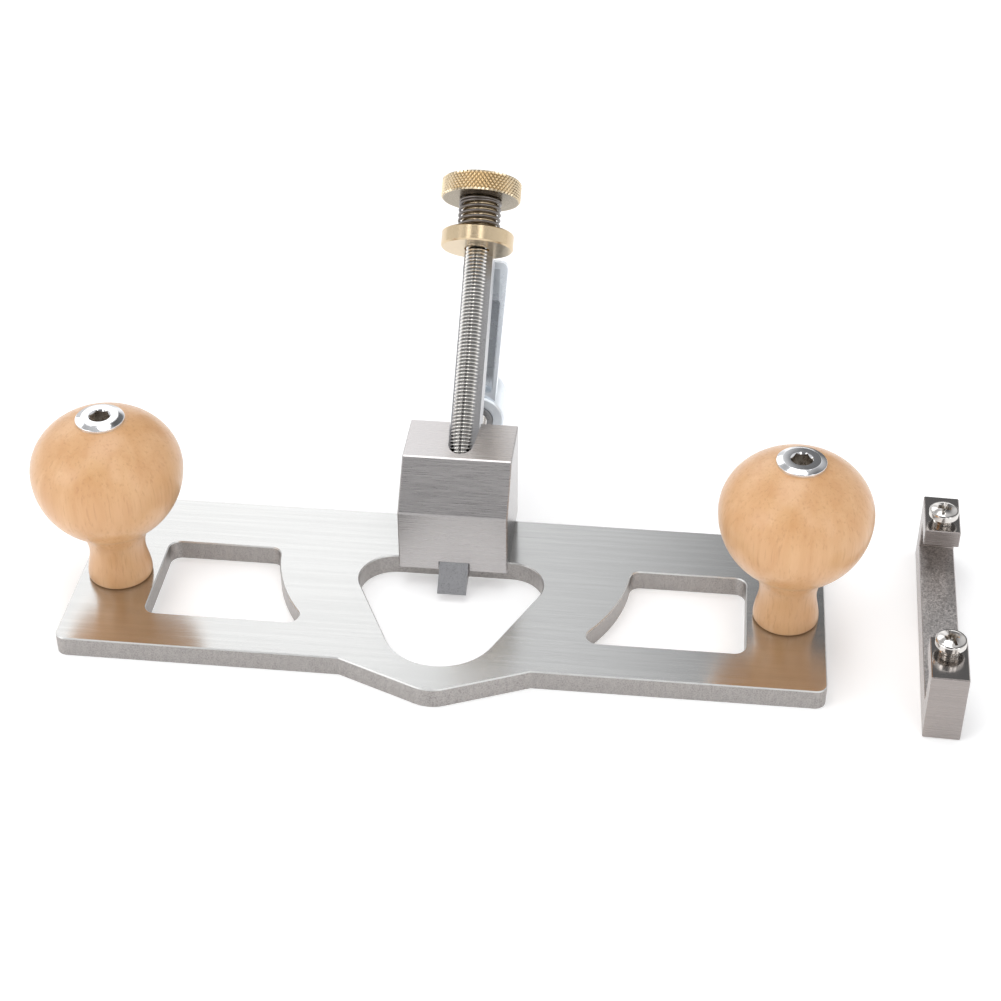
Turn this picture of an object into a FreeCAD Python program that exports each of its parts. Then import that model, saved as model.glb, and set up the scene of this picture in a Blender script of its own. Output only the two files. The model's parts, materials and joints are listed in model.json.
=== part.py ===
"""Hand router plane with a clamp-on fence, one STEP file per piece.

Units are millimetres and +Z is up. Z = 0 is the sole. The origin is on the sole, under the
middle of the head block; -Y is the front, where the rounded point of the plate is.
"""
import FreeCAD, Part
import math
import os

V = FreeCAD.Vector
X_AXIS = V(1, 0, 0)
Y_AXIS = V(0, 1, 0)
Z_AXIS = V(0, 0, 1)

# Plate
plate_length = 203.2
plate_depth = 64.4
plate_thick = 6.0
plate_y = -22.0
plate_corner = 3.0
nose_half = 25.3
nose_reach = 10.85
nose_round = 10.0
edge_break = 0.3

# Openings in the plate, measured from the middle of the plate
throat_rear = 12.5
throat_rear_round = 9.6
throat_rear_half = 15.7
throat_front_y = -17.2
throat_front_round = 15.25
window_rear = 12.4
window_front = -19.1
window_outer = 80.4
window_arc = 49.0
window_arc_y = 15.0
window_corner = 3.0

# Head block
block_width = 30.0
block_depth = 29.0
block_top = 35.8
block_chamfer = 11.3
block_screw_x = 9.5
block_screw_y = 2.0
block_screw_r = 2.5
block_screw_head_r = 4.65
block_screw_head = 2.7
block_screw_length = 18.0
screw_play = 0.02

# Cutter, screw and adjuster lean back together
post_lean = 45.0
post_x = 0.3
post_y = 4.1
screw_r = 3.0
screw_top = 75.8
screw_bottom = -16.5
screw_socket = -8.0
screw_play_r = 3.5
bar = 8.0
bar_gap = 6.0
bar_side_play = 0.3
bar_face_play = 0.1
tip_y = -20.7
tip_z = 2.5
tip_clearance = 12.0
flange_r = 10.1
flange_z = 55.0
flange_thick = 4.6
flange_lip = 1.2
knob_z = 69.1
knob_r = 11.2
knob_thick = 5.5
hub_r = 4.8
running = 0.05
groove_r = 4.2
groove_z = 57.9
groove_width = 1.8
swivel_pin_r = 0.75
swivel_pin_turn = 35.0
dowel_r = 0.8
dowel_x = 2.2
dowel_y = 8.0
dowel_bottom = 48.0
coil_r = 5.6
wire_r = 0.4
coil_turns = 6.0

# Handles
handle_x = 90.9
handle_y = -24.4
ball_r = 20.1
ball_z = 40.5
crown_height = 16.4
crown_top = 56.0
neck_r = 7.6
neck_z = 15.0
foot_r = 8.8
bolt_r = 3.0
bolt_head_r = 6.45
bolt_flat_r = 5.0
bolt_rim = 0.8
bolt_head = 1.5
bolt_hex = 5.0
bolt_hex_depth = 3.2

# Clamp lever at the rear
clamp_z = 19.3
pad_r = 2.9
pad_rear = 10.7
stud_rear = 48.0
lever_y = 40.5
lever_hub_r = 7.8
lever_hub_top_r = 6.4
lever_hub_height = 17.0
lever_lean = 23.7
arm_root = 6.0
arm_length = 40.6
arm_root_half = 5.0
arm_tip_half = 6.6
arm_thick = 7.5
arm_tip_round = 2.2
arm_back_round = 2.2
arm_wall = 1.4
arm_swing = 1.0
arm_rim = 1.0
arm_rim_depth = 0.8
arm_rim_end = 38.6
arm_hollow_start = 2.5
arm_hollow_end = 29.5
arm_hollow_depth = 5.0
arm_hollow_round = 0.8
insert_r = 4.6
insert_collar = 0.8
insert_height = 8.0
web_bottom = 8.2
web_top = 9.7
lever_bore_r = 4.3
lever_screw_r = 2.0
lever_screw_bottom = 4.5
lever_screw_head_z = 14.0
lever_screw_head_r = 3.5
lever_screw_head = 2.4
lever_coil_r = 3.2
lever_wire_r = 0.45
lever_coil_turns = 2

# Fence, lying on the bench beside the plane
fence_x = 131.7
fence_y = -23.4
fence_turn = -2.0
fence_length = 77.0
fence_width = 9.5
fence_height = 20.0
fence_bar = 7.4
fence_riser = 6.1
fence_tab = 16.0
fence_tab_thick = 5.0
fence_screw_r = 2.5
fence_screw_length = 8.0
fence_screw_head_r = 4.0
fence_screw_head = 2.7
fence_screw_lift = 1.9
cross_width = 1.0
cross_reach = 2.0
cross_depth = 1.6

plate_half = plate_length / 2
front_y = plate_y - plate_depth / 2
rear_y = plate_y + plate_depth / 2
block_front = -block_depth / 2
block_rear = block_depth / 2


def closed_face(edges):
    """A flat face from edges in any order."""
    return Part.Face(Part.Wire(Part.__sortEdges__(edges)))


def polygon_face(points):
    return Part.Face(Part.makePolygon(points + [points[0]]))


def line(a, b):
    return Part.LineSegment(a, b).toShape()


def arc(a, middle, b):
    return Part.Arc(a, middle, b).toShape()


def cylinder(radius, start, end):
    """A round bar from one point to another."""
    way = end.sub(start)
    return Part.makeCylinder(radius, way.Length, start, way)


def revolve(edges):
    """Turn a half profile in the XZ plane about Z."""
    solid = closed_face(edges).revolve(V(0, 0, 0), Z_AXIS, 360)
    if solid.Volume < 0:
        solid.reverse()
    return solid


def edges_at(shape, height, longer_than=2.0):
    """The longer edges that lie flat at one height."""
    found = []
    for edge in shape.Edges:
        box = edge.BoundBox
        level = abs(box.ZMin - height) < 1e-4 and abs(box.ZMax - height) < 1e-4
        if level and edge.Length > longer_than:
            found.append(edge)
    return found


def upright_edges(shape, corners):
    """Vertical edges at the given (x, y) corners."""
    found = []
    for edge in shape.Edges:
        box = edge.BoundBox
        if box.ZLength < 1 or box.XLength > 1e-3 or box.YLength > 1e-3:
            continue
        if any(math.hypot(box.XMin - x, box.YMin - y) < 1e-3 for x, y in corners):
            found.append(edge)
    return found


def on_post(shape):
    """Tip a shape drawn along Z onto the leaning axis of the depth screw."""
    shape.rotate(V(0, 0, 0), X_AXIS, -post_lean)
    shape.translate(V(post_x, post_y, block_top))
    return shape


def coil(radius, wire, bottom, height, turns):
    """An open round-wire spring about Z."""
    helix = Part.makeHelix(height / turns, height, radius)
    section = Part.Wire(Part.makeCircle(wire, V(radius, 0, 0), Y_AXIS))
    spring = Part.Wire(helix.Edges).makePipeShell([section], True, True)
    spring.translate(V(0, 0, bottom))
    return spring


def bar_slot():
    """The square way of the cutter through block and plate."""
    half = bar / 2 + bar_side_play
    depth = bar + 2 * bar_face_play
    slot = Part.makeBox(2 * half, depth, 120, V(-half, bar_gap - bar_face_play, -80))
    return on_post(slot)


def throat_cut():
    """Rounded triangle: straight rear edge, two rear corners and a round front."""
    rear_centre = V(throat_rear_half, throat_rear - throat_rear_round, 0)
    front_centre = V(0, throat_front_y, 0)
    apart = rear_centre.sub(front_centre)
    swing = math.asin((throat_front_round - throat_rear_round) / apart.Length)
    normal = math.atan2(apart.y, apart.x) - math.pi / 2 + swing
    side = V(math.cos(normal), math.sin(normal), 0)
    rear_end = rear_centre + side * throat_rear_round
    front_end = front_centre + side * throat_front_round
    middle = (normal + math.pi / 2) / 2
    bulge = V(math.cos(middle), math.sin(middle), 0) * throat_rear_round

    def mirrored(p):
        return V(-p.x, p.y, p.z)

    rear_top = V(throat_rear_half, throat_rear, 0)
    front_tip = V(0, throat_front_y - throat_front_round, 0)
    edges = [
        line(mirrored(rear_top), rear_top),
        arc(rear_top, rear_centre + bulge, rear_end),
        line(rear_end, front_end),
        arc(front_end, front_tip, mirrored(front_end)),
        line(mirrored(front_end), mirrored(rear_end)),
        arc(mirrored(rear_end), mirrored(rear_centre + bulge), mirrored(rear_top)),
    ]
    return closed_face(edges).extrude(V(0, 0, plate_thick))


def window_cut(side):
    """A side window whose inner edge follows a circle about the throat."""
    width = window_outer - window_arc / 2
    depth = window_rear - window_front
    low_x = side * window_outer if side < 0 else window_arc / 2
    window = Part.makeBox(width, depth, plate_thick, V(low_x, window_front, 0))
    disc = Part.makeCylinder(window_arc, plate_thick, V(0, window_arc_y, 0))
    window = window.cut(disc)
    upright = [e for e in window.Edges if e.BoundBox.ZLength > 1 and e.BoundBox.XLength < 1e-3]
    return window.makeFillet(window_corner, upright)


def base_plate():
    points = [
        V(-plate_half, front_y, 0),
        V(-nose_half, front_y, 0),
        V(0, front_y - nose_reach, 0),
        V(nose_half, front_y, 0),
        V(plate_half, front_y, 0),
        V(plate_half, rear_y, 0),
        V(-plate_half, rear_y, 0),
    ]
    plate = polygon_face(points).extrude(V(0, 0, plate_thick))
    corners = [(x, y) for x in (-plate_half, plate_half) for y in (front_y, rear_y)]
    plate = plate.makeFillet(plate_corner, upright_edges(plate, corners))
    plate = plate.makeFillet(nose_round, upright_edges(plate, [(0, front_y - nose_reach)]))
    for cut in (throat_cut(), window_cut(-1), window_cut(1)):
        cut.translate(V(0, plate_y, 0))
        plate = plate.cut(cut)
    edges = edges_at(plate, 0) + edges_at(plate, plate_thick)
    plate = plate.makeChamfer(edge_break, edges)
    plate = plate.cut(bar_slot())
    for side in (-1, 1):
        hole = V(side * handle_x, handle_y, 0)
        plate = plate.cut(cylinder(bolt_r + screw_play, hole, hole + V(0, 0, plate_thick)))
        plate = plate.cut(countersunk_screw(side, screw_play))
    return plate


def countersunk_screw(side, play):
    """Screw up through the plate into the block, head flush with the sole."""
    foot = V(side * block_screw_x, block_screw_y, 0)
    shank = cylinder(block_screw_r + play, foot, foot + V(0, 0, block_screw_length + play))
    head = Part.makeCone(
        block_screw_head_r + play, block_screw_r + play, block_screw_head, foot, Z_AXIS
    )
    return shank.fuse(head).removeSplitter()


def hex_socket(across, depth, top):
    """A six-sided driving hole opening upwards at top."""
    radius = across / math.sqrt(3)
    corners = []
    for i in range(6):
        turn = math.radians(60 * i + 12)
        corners.append(V(radius * math.cos(turn), radius * math.sin(turn), top - depth))
    return polygon_face(corners).extrude(V(0, 0, depth + 1))


def block_screws():
    screws = []
    for side in (-1, 1):
        socket = hex_socket(3.0, 2.0, 0)
        socket.rotate(V(0, 0, 0), X_AXIS, 180)
        socket.translate(V(side * block_screw_x, block_screw_y, 0))
        screws.append(countersunk_screw(side, 0).cut(socket))
    return Part.makeCompound(screws)


def head_block():
    half = block_width / 2
    crease = block_top - block_chamfer
    points = [
        V(-half, block_front, plate_thick),
        V(-half, block_rear, plate_thick),
        V(-half, block_rear, block_top),
        V(-half, block_front + block_chamfer, block_top),
        V(-half, block_front, crease),
    ]
    block = polygon_face(points).extrude(V(block_width, 0, 0))
    block = block.makeChamfer(edge_break, block.Edges)
    block = block.cut(bar_slot())
    half_slot = bar / 2 + bar_side_play
    mouth = [
        V(-screw_play_r, 0, screw_socket),
        V(screw_play_r, 0, screw_socket),
        V(half_slot, bar_gap, screw_socket),
        V(-half_slot, bar_gap, screw_socket),
    ]
    mouth_cut = polygon_face(mouth).extrude(V(0, 0, 40))
    bore = cylinder(screw_play_r, V(0, 0, screw_socket), V(0, 0, 40))
    socket = cylinder(screw_r + screw_play, V(0, 0, screw_bottom - 0.5), V(0, 0, screw_socket + 1))
    block = block.cut(on_post(mouth_cut)).cut(on_post(bore)).cut(on_post(socket))
    clamp_hole = cylinder(screw_r + running, V(post_x, 0, clamp_z), V(post_x, block_rear, clamp_z))
    block = block.cut(clamp_hole)
    for side in (-1, 1):
        foot = V(side * block_screw_x, block_screw_y, plate_thick)
        top = V(foot.x, foot.y, block_screw_length + screw_play)
        block = block.cut(cylinder(block_screw_r + screw_play, foot, top))
    return block


def handle(side):
    """Turned knob: squat crown over a ball, a round neck and a plain foot."""
    cove = (ball_r**2 - neck_r**2 - (ball_z - neck_z) ** 2) / (2 * (neck_r - ball_r))
    cove_x = neck_r + cove
    to_cove = V(cove_x, 0, neck_z - ball_z).normalize()
    join = V(0, 0, ball_z) + to_cove * ball_r
    foot_top = neck_z - math.sqrt(cove**2 - (cove_x - foot_r) ** 2)
    crown_x = ball_r * math.sqrt(1 - ((crown_top - ball_z) / crown_height) ** 2)
    mid = math.radians(-25)
    middle = V(0, 0, ball_z)
    crown = Part.Ellipse(middle + V(ball_r, 0, 0), middle + V(0, 0, crown_height), middle)
    crown_end = math.asin((crown_top - ball_z) / crown_height)
    hole = bolt_r + screw_play
    edges = [
        line(V(hole, 0, plate_thick), V(foot_r, 0, plate_thick)),
        line(V(foot_r, 0, plate_thick), V(foot_r, 0, foot_top)),
        arc(V(foot_r, 0, foot_top), V(neck_r, 0, neck_z), join),
        arc(join, middle + V(math.cos(mid), 0, math.sin(mid)) * ball_r, middle + V(ball_r, 0, 0)),
        crown.toShape(0, crown_end),
        line(V(crown_x, 0, crown_top), V(hole, 0, crown_top)),
        line(V(hole, 0, crown_top), V(hole, 0, plate_thick)),
    ]
    knob = revolve(edges)
    knob.translate(V(side * handle_x, handle_y, 0))
    return knob


def handle_bolt(side):
    """Thin bevelled head with a six-sided socket, over a long shank."""
    top = crown_top + bolt_head
    rim = crown_top + bolt_rim
    profile = [
        V(0, 0, edge_break),
        V(bolt_r, 0, edge_break),
        V(bolt_r, 0, crown_top),
        V(bolt_head_r, 0, crown_top),
        V(bolt_head_r, 0, rim),
        V(bolt_flat_r, 0, top),
        V(0, 0, top),
    ]
    bolt = polygon_face(profile).revolve(V(0, 0, 0), Z_AXIS, 360)
    bolt = bolt.cut(hex_socket(bolt_hex, bolt_hex_depth, top))
    bolt.translate(V(side * handle_x, handle_y, 0))
    return bolt


def depth_screw():
    rod = cylinder(screw_r, V(0, 0, screw_bottom), V(0, 0, screw_top))
    ends = edges_at(rod, screw_bottom) + edges_at(rod, screw_top)
    return on_post(rod.makeChamfer(0.6, ends))


def cutter():
    """Square bar whose lower end is ground to an edge just over the sole."""
    low = -60
    shank = Part.makeBox(bar, bar, flange_z - low, V(-bar / 2, bar_gap, low))
    for side in (-1, 1):
        foot = V(side * dowel_x, dowel_y, dowel_bottom)
        shank = shank.cut(cylinder(dowel_r, foot, V(foot.x, foot.y, flange_z)))
    shank = on_post(shank)
    grind = Part.makeBox(40, 90, 60, V(-20, -30, -60))
    grind.rotate(V(0, 0, 0), X_AXIS, tip_clearance)
    grind.translate(V(0, tip_y, tip_z))
    return shank.cut(grind)


def swivel_pin(turn):
    way = V(math.sin(math.radians(turn)), math.cos(math.radians(turn)), 0)
    middle = V(0, 0, groove_z)
    return middle + way * (groove_r + 0.15), middle + way * (flange_r - 0.3)


def cutter_flange():
    """Smooth disc on the top of the cutter that carries the adjuster."""
    top = flange_z + flange_thick
    disc = cylinder(flange_r, V(0, 0, flange_z), V(0, 0, top))
    disc = disc.makeChamfer(0.4, edges_at(disc, flange_z) + edges_at(disc, top))
    disc = disc.cut(cylinder(screw_play_r, V(0, 0, flange_z), V(0, 0, top)))
    disc = disc.cut(cylinder(hub_r + running, V(0, 0, flange_z + flange_lip), V(0, 0, top)))
    for side in (-1, 1):
        foot = V(side * dowel_x, dowel_y, flange_z)
        disc = disc.cut(cylinder(dowel_r, foot, V(foot.x, foot.y, top - 1)))
        start, end = swivel_pin(side * swivel_pin_turn)
        disc = disc.cut(cylinder(swivel_pin_r, start, end + (end - start)))
    return on_post(disc)


def flange_pins():
    pins = []
    for side in (-1, 1):
        foot = V(side * dowel_x, dowel_y, dowel_bottom)
        pins.append(cylinder(dowel_r, foot, V(foot.x, foot.y, flange_z + flange_thick - 1)))
    return on_post(Part.makeCompound(pins))


def swivel_pins():
    pins = []
    for side in (-1, 1):
        start, end = swivel_pin(side * swivel_pin_turn)
        pins.append(cylinder(swivel_pin_r, start, end))
    return on_post(Part.makeCompound(pins))


def adjuster_spring():
    bottom = flange_z + flange_thick + wire_r + running
    height = knob_z - wire_r - running - bottom
    return on_post(coil(coil_r, wire_r, bottom, height, coil_turns))


def adjuster_knob():
    """Grip disc and grooved hub in one piece, threaded onto the depth screw."""
    top = knob_z + knob_thick
    grip = cylinder(knob_r, V(0, 0, knob_z), V(0, 0, top))
    grip = grip.makeChamfer(0.5, edges_at(grip, knob_z) + edges_at(grip, top))
    hub_bottom = flange_z + flange_lip + running
    hub = cylinder(hub_r, V(0, 0, hub_bottom), V(0, 0, knob_z))
    groove_bottom = V(0, 0, groove_z - groove_width / 2)
    groove_top = V(0, 0, groove_z + groove_width / 2)
    ring = cylinder(hub_r + 1, groove_bottom, groove_top)
    ring = ring.cut(cylinder(groove_r, groove_bottom, groove_top))
    knob = grip.fuse(hub.cut(ring)).removeSplitter()
    knob = knob.cut(cylinder(screw_r + running, V(0, 0, hub_bottom), V(0, 0, top)))
    return on_post(knob)


def clamp_pad():
    """Slug with a slanted nose that bears on the back of the cutter."""
    slug = cylinder(pad_r, V(post_x, -5, clamp_z), V(post_x, pad_rear, clamp_z))
    behind = bar_gap + bar + bar_face_play / 2
    front = on_post(Part.makeBox(30, 60, 200, V(-15, behind - 60, -100)))
    return slug.cut(front)


def on_lever(shape):
    """Lay a shape drawn along Z onto the clamp screw's axis, which points to the rear."""
    shape.rotate(V(0, 0, 0), X_AXIS, -90)
    shape.translate(V(post_x, lever_y, clamp_z))
    return shape


def clamp_stud():
    start = V(post_x, pad_rear + running, clamp_z)
    end = V(post_x, stud_rear, clamp_z)
    return cylinder(screw_r, start, end)


def lever_insert():
    """Steel drum in the lever's hub, toothed on the real lever, that holds the stud."""
    drum = cylinder(insert_r, V(0, 0, -insert_collar), V(0, 0, insert_height))
    stud_end = stud_rear - lever_y
    drum = drum.cut(cylinder(screw_r + screw_play, V(0, 0, -insert_collar), V(0, 0, stud_end)))
    drum = drum.cut(cylinder(lever_screw_r + screw_play, V(0, 0, stud_end), V(0, 0, insert_height)))
    return on_lever(drum)


def lever_screw():
    """Screw from the rear that holds the lever and its spring on the insert."""
    start = stud_rear - lever_y + running
    top = lever_screw_head_z + lever_screw_head
    shank = cylinder(lever_screw_r, V(0, 0, start), V(0, 0, lever_screw_head_z))
    head = cylinder(lever_screw_head_r, V(0, 0, lever_screw_head_z), V(0, 0, top))
    screw = shank.fuse(head).removeSplitter()
    return on_lever(screw.cut(hex_socket(2.5, 1.6, top)))


def lever_spring():
    bottom = web_top + lever_wire_r + running
    height = lever_screw_head_z - lever_wire_r - running - bottom
    return on_lever(coil(lever_coil_r, lever_wire_r, bottom, height, lever_coil_turns))


def lever_arm():
    """Tapered arm drawn upright: X across, Z along, hollow side facing -Y."""
    slope = (arm_tip_half - arm_root_half) / arm_length
    outline = [
        V(-arm_root_half, 0, 0),
        V(arm_root_half, 0, 0),
        V(arm_tip_half, 0, arm_length),
        V(-arm_tip_half, 0, arm_length),
    ]
    arm = polygon_face(outline).extrude(V(0, arm_thick, 0))
    tip_edges = [e for e in arm.Edges if e.BoundBox.YLength > 1 and e.BoundBox.ZMin > 1]
    arm = arm.makeFillet(arm_tip_round, tip_edges)
    back = [e for e in arm.Edges if e.BoundBox.YMin > arm_thick - 1e-3 and e.BoundBox.ZMax > 1e-3]
    arm = arm.makeFillet(arm_back_round, back)
    for wall, end, depth in (
        (arm_rim, arm_rim_end, arm_rim_depth),
        (arm_wall, arm_hollow_end, arm_hollow_depth),
    ):
        low = arm_root_half + slope * arm_hollow_start - wall
        high = arm_root_half + slope * end - wall
        hollow = [
            V(-low, -1, arm_hollow_start),
            V(low, -1, arm_hollow_start),
            V(high, -1, end),
            V(-high, -1, end),
        ]
        cut = polygon_face(hollow).extrude(V(0, depth + 1, 0))
        cut_ends = [e for e in cut.Edges if e.BoundBox.YLength > 1]
        arm = arm.cut(cut.makeFillet(arm_hollow_round, cut_ends))
    return arm


def clamp_lever():
    """Round hub and leaning arm; the arm stands straight up at rest."""
    shoulder = lever_hub_height - 3
    profile = [
        V(0, 0, 0),
        V(lever_hub_r - 0.5, 0, 0),
        V(lever_hub_r, 0, 0.5),
        V(lever_hub_r - 0.4, 0, shoulder),
        V(lever_hub_top_r, 0, lever_hub_height),
        V(0, 0, lever_hub_height),
    ]
    hub = on_lever(polygon_face(profile).revolve(V(0, 0, 0), Z_AXIS, 360))
    arm = lever_arm()
    arm.rotate(V(0, 0, 0), X_AXIS, -lever_lean)
    arm.translate(V(0, lever_y + 1.2, arm_root))
    arm.rotate(V(0, 0, 0), Y_AXIS, arm_swing)
    arm.translate(V(post_x, 0, clamp_z))
    lever = hub.fuse(arm).removeSplitter()
    drum_bore = cylinder(insert_r + 0.1, V(0, 0, -1), V(0, 0, web_bottom))
    neck_bore = cylinder(lever_screw_r + 0.3, V(0, 0, web_bottom - 1), V(0, 0, web_top + 1))
    head_bore = cylinder(lever_bore_r, V(0, 0, web_top), V(0, 0, lever_hub_height + 8))
    for bore in (drum_bore, neck_bore, head_bore):
        lever = lever.cut(on_lever(bore))
    return lever


def on_fence(shape):
    """Place a shape drawn about the fence's own middle where the fence lies."""
    shape.rotate(V(0, 0, 0), Z_AXIS, fence_turn)
    shape.translate(V(fence_x, fence_y, 0))
    return shape


def fence_screw_y():
    """Middle of the free part of a tab, measured from the fence's middle."""
    inner = fence_length / 2 - fence_tab
    outer = fence_length / 2 - fence_riser
    return (inner + outer) / 2


def fence_body():
    """Flat bar with a riser and an inward tab at each end."""
    half = fence_length / 2
    blank = Part.makeBox(fence_width, fence_length, fence_height, V(-fence_width / 2, -half, 0))
    jaw_top = fence_height - fence_tab_thick
    jaw = Part.makeBox(
        fence_width + 2,
        fence_length - 2 * fence_riser,
        jaw_top - fence_bar,
        V(-fence_width / 2 - 1, fence_riser - half, fence_bar),
    )
    mouth = Part.makeBox(
        fence_width + 2,
        fence_length - 2 * fence_tab,
        fence_height - fence_bar,
        V(-fence_width / 2 - 1, fence_tab - half, fence_bar),
    )
    body = blank.cut(jaw.fuse(mouth))
    body = body.makeChamfer(0.25, body.Edges)
    for side in (-1, 1):
        foot = V(0, side * fence_screw_y(), jaw_top)
        hole = cylinder(fence_screw_r + running, foot, V(foot.x, foot.y, fence_height))
        body = body.cut(hole)
    return on_fence(body)


def fence_screw(side):
    """Cross-slotted pan head screw, drawn back a little from its tab."""
    seat = fence_height + fence_screw_lift
    crown = seat + fence_screw_head
    shank = cylinder(fence_screw_r, V(0, 0, seat - fence_screw_length), V(0, 0, seat))
    shank = shank.makeChamfer(0.4, edges_at(shank, seat - fence_screw_length))
    rim = 0.7
    shoulder = V(fence_screw_head_r * 0.72, 0, seat + fence_screw_head * 0.82)
    edges = [
        line(V(0, 0, seat), V(fence_screw_head_r, 0, seat)),
        line(V(fence_screw_head_r, 0, seat), V(fence_screw_head_r, 0, seat + rim)),
        arc(V(fence_screw_head_r, 0, seat + rim), shoulder, V(0, 0, crown)),
        line(V(0, 0, crown), V(0, 0, seat)),
    ]
    screw = revolve(edges).fuse(shank).removeSplitter()
    for turn in (35, 125):
        blade = Part.makeBox(
            2 * cross_reach,
            cross_width,
            cross_depth + 1,
            V(-cross_reach, -cross_width / 2, crown - cross_depth),
        )
        blade.rotate(V(0, 0, 0), Z_AXIS, turn)
        screw = screw.cut(blade)
    screw.translate(V(0, side * fence_screw_y(), 0))
    return on_fence(screw)


pieces = {
    "base_plate": base_plate(),
    "head_block": head_block(),
    "block_screws": block_screws(),
    "left_knob": handle(-1),
    "right_knob": handle(1),
    "left_knob_bolt": handle_bolt(-1),
    "right_knob_bolt": handle_bolt(1),
    "depth_screw": depth_screw(),
    "cutter": cutter(),
    "cutter_flange": cutter_flange(),
    "flange_pins": flange_pins(),
    "swivel_pins": swivel_pins(),
    "adjuster_spring": adjuster_spring(),
    "adjuster_knob": adjuster_knob(),
    "clamp_pad": clamp_pad(),
    "clamp_stud": clamp_stud(),
    "lever_insert": lever_insert(),
    "lever_screw": lever_screw(),
    "lever_spring": lever_spring(),
    "clamp_lever": clamp_lever(),
    "fence_body": fence_body(),
    "fence_screw_front": fence_screw(-1),
    "fence_screw_rear": fence_screw(1),
}

os.makedirs("parts", exist_ok=True)
for name, shape in pieces.items():
    whole = shape.isValid() and all(s.Shells[0].isClosed() for s in shape.Solids)
    box = shape.BoundBox
    print(
        f"{name:18s} solids {len(shape.Solids)} closed {whole} volume {shape.Volume:9.1f} "
        f"x {box.XMin:7.2f} {box.XMax:7.2f} y {box.YMin:7.2f} {box.YMax:7.2f} "
        f"z {box.ZMin:6.2f} {box.ZMax:6.2f}"
    )
    shape.exportStep(f"parts/{name}.step")
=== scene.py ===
"""Looks of the hand router plane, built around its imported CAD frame. Units are metres."""

import json
import math

import bmesh
import bpy
from mathutils import Matrix, Vector


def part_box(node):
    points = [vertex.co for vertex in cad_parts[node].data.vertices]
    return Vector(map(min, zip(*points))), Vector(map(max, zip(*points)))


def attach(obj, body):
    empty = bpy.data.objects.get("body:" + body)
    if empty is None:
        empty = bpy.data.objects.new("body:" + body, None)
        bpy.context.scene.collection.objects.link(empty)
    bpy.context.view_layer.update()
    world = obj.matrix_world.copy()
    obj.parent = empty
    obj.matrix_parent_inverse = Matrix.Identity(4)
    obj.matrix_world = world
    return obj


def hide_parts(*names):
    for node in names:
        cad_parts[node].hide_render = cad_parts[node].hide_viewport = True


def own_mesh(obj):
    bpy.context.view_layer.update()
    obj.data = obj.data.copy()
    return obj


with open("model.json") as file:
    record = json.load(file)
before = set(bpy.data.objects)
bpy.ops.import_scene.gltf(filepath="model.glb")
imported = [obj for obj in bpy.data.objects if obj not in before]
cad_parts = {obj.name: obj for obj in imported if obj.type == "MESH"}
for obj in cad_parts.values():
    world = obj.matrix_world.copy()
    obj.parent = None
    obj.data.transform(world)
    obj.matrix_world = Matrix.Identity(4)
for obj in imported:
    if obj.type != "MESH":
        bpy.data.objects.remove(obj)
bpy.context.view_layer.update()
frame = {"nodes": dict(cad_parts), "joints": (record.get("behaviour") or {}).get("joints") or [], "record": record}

MM = 0.001
TAU = 2 * math.pi
nodes = frame["nodes"]
joints = {j["name"]: j for j in frame["joints"]}

# Thread pitches and forms
M6_PITCH = 1.0 * MM
M5_PITCH = 0.8 * MM
THREAD_DEPTH = 0.613

# Radii between which painted shade in a groove goes from its darkest to none; in the knurl it also stands for
# patina
THREAD_SHADE = (2.38 * MM, 2.78 * MM)
KNURL_SHADE = (10.4 * MM, 10.9 * MM)

# Where the camera stands, how far it looks down and to the left in degrees, and its lens in mm
CAMERA_PLACE = (0.0601, -0.4480, 0.3513)
CAMERA_DOWN = 36.3
CAMERA_LEFT = 6.18
CAMERA_LENS = 72.67

# Brightness of the backdrop from left to right, as the steel mirrors it: (sideways direction, level).
# These levels were set by colour against the picture; they stand for no known studio.
BACKDROP = (
    (-0.34, 0.85),
    (-0.18, 0.98),
    (-0.10, 1.40),
    (-0.02, 1.20),
    (0.025, 0.70),
    (0.06, 0.25),
    (0.30, 0.20),
    (0.50, 0.90),
)

# A dark card above the camera: its direction, where it begins and is full in degrees, and its level
DARK_CARD = ((-0.11, -0.60, 0.79), 32, 20, 0.18)


# ---------------------------------------------------------------- places

def span(node, axis):
    low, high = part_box(node)
    return high[axis] - low[axis]


def axis_frame(origin, axis, sideways=(1, 0, 0)):
    """A matrix whose Z is the axis and whose X is sideways."""
    z = Vector(axis).normalized()
    x = Vector(sideways).normalized()
    y = z.cross(x)
    turn = Matrix((x, y, z)).transposed().to_4x4()
    return Matrix.Translation(Vector(origin)) @ turn


post = axis_frame(joints["adjuster_turn"]["pos_m"], joints["adjuster_turn"]["axis"])
spindle = axis_frame(joints["lever_turn"]["pos_m"], joints["lever_turn"]["axis"])


def along(node, place):
    """Lowest and highest coordinate of a node along a frame's Z, read from its vertices."""
    inverse = place.inverted()
    heights = [(inverse @ v.co).z for v in nodes[node].data.vertices]
    return min(heights), max(heights)


# ---------------------------------------------------------------- mesh tools

def new_piece(name, bm, place, body, replaced, smooth=True, sharp=40):
    """Turn a bmesh into an object that rides a body and stands for CAD nodes."""
    bmesh.ops.remove_doubles(bm, verts=bm.verts, dist=1e-7)
    bmesh.ops.dissolve_degenerate(bm, edges=bm.edges, dist=1e-7)
    bmesh.ops.recalc_face_normals(bm, faces=bm.faces)
    mesh = bpy.data.meshes.new(name)
    bm.to_mesh(mesh)
    bm.free()
    return finish_piece(name, mesh, place, body, replaced, smooth, sharp)


def finish_piece(name, mesh, place, body, replaced, smooth=True, sharp=40):
    piece = bpy.data.objects.new(name, mesh)
    bpy.context.scene.collection.objects.link(piece)
    piece.matrix_world = place
    if smooth:
        mesh.shade_smooth()
        mesh.set_sharp_from_angle(angle=math.radians(sharp))
    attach(piece, body)
    if replaced:
        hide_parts(*replaced)
    return piece


def paint(piece, material):
    piece.data.materials.clear()
    piece.data.materials.append(material)


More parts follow.
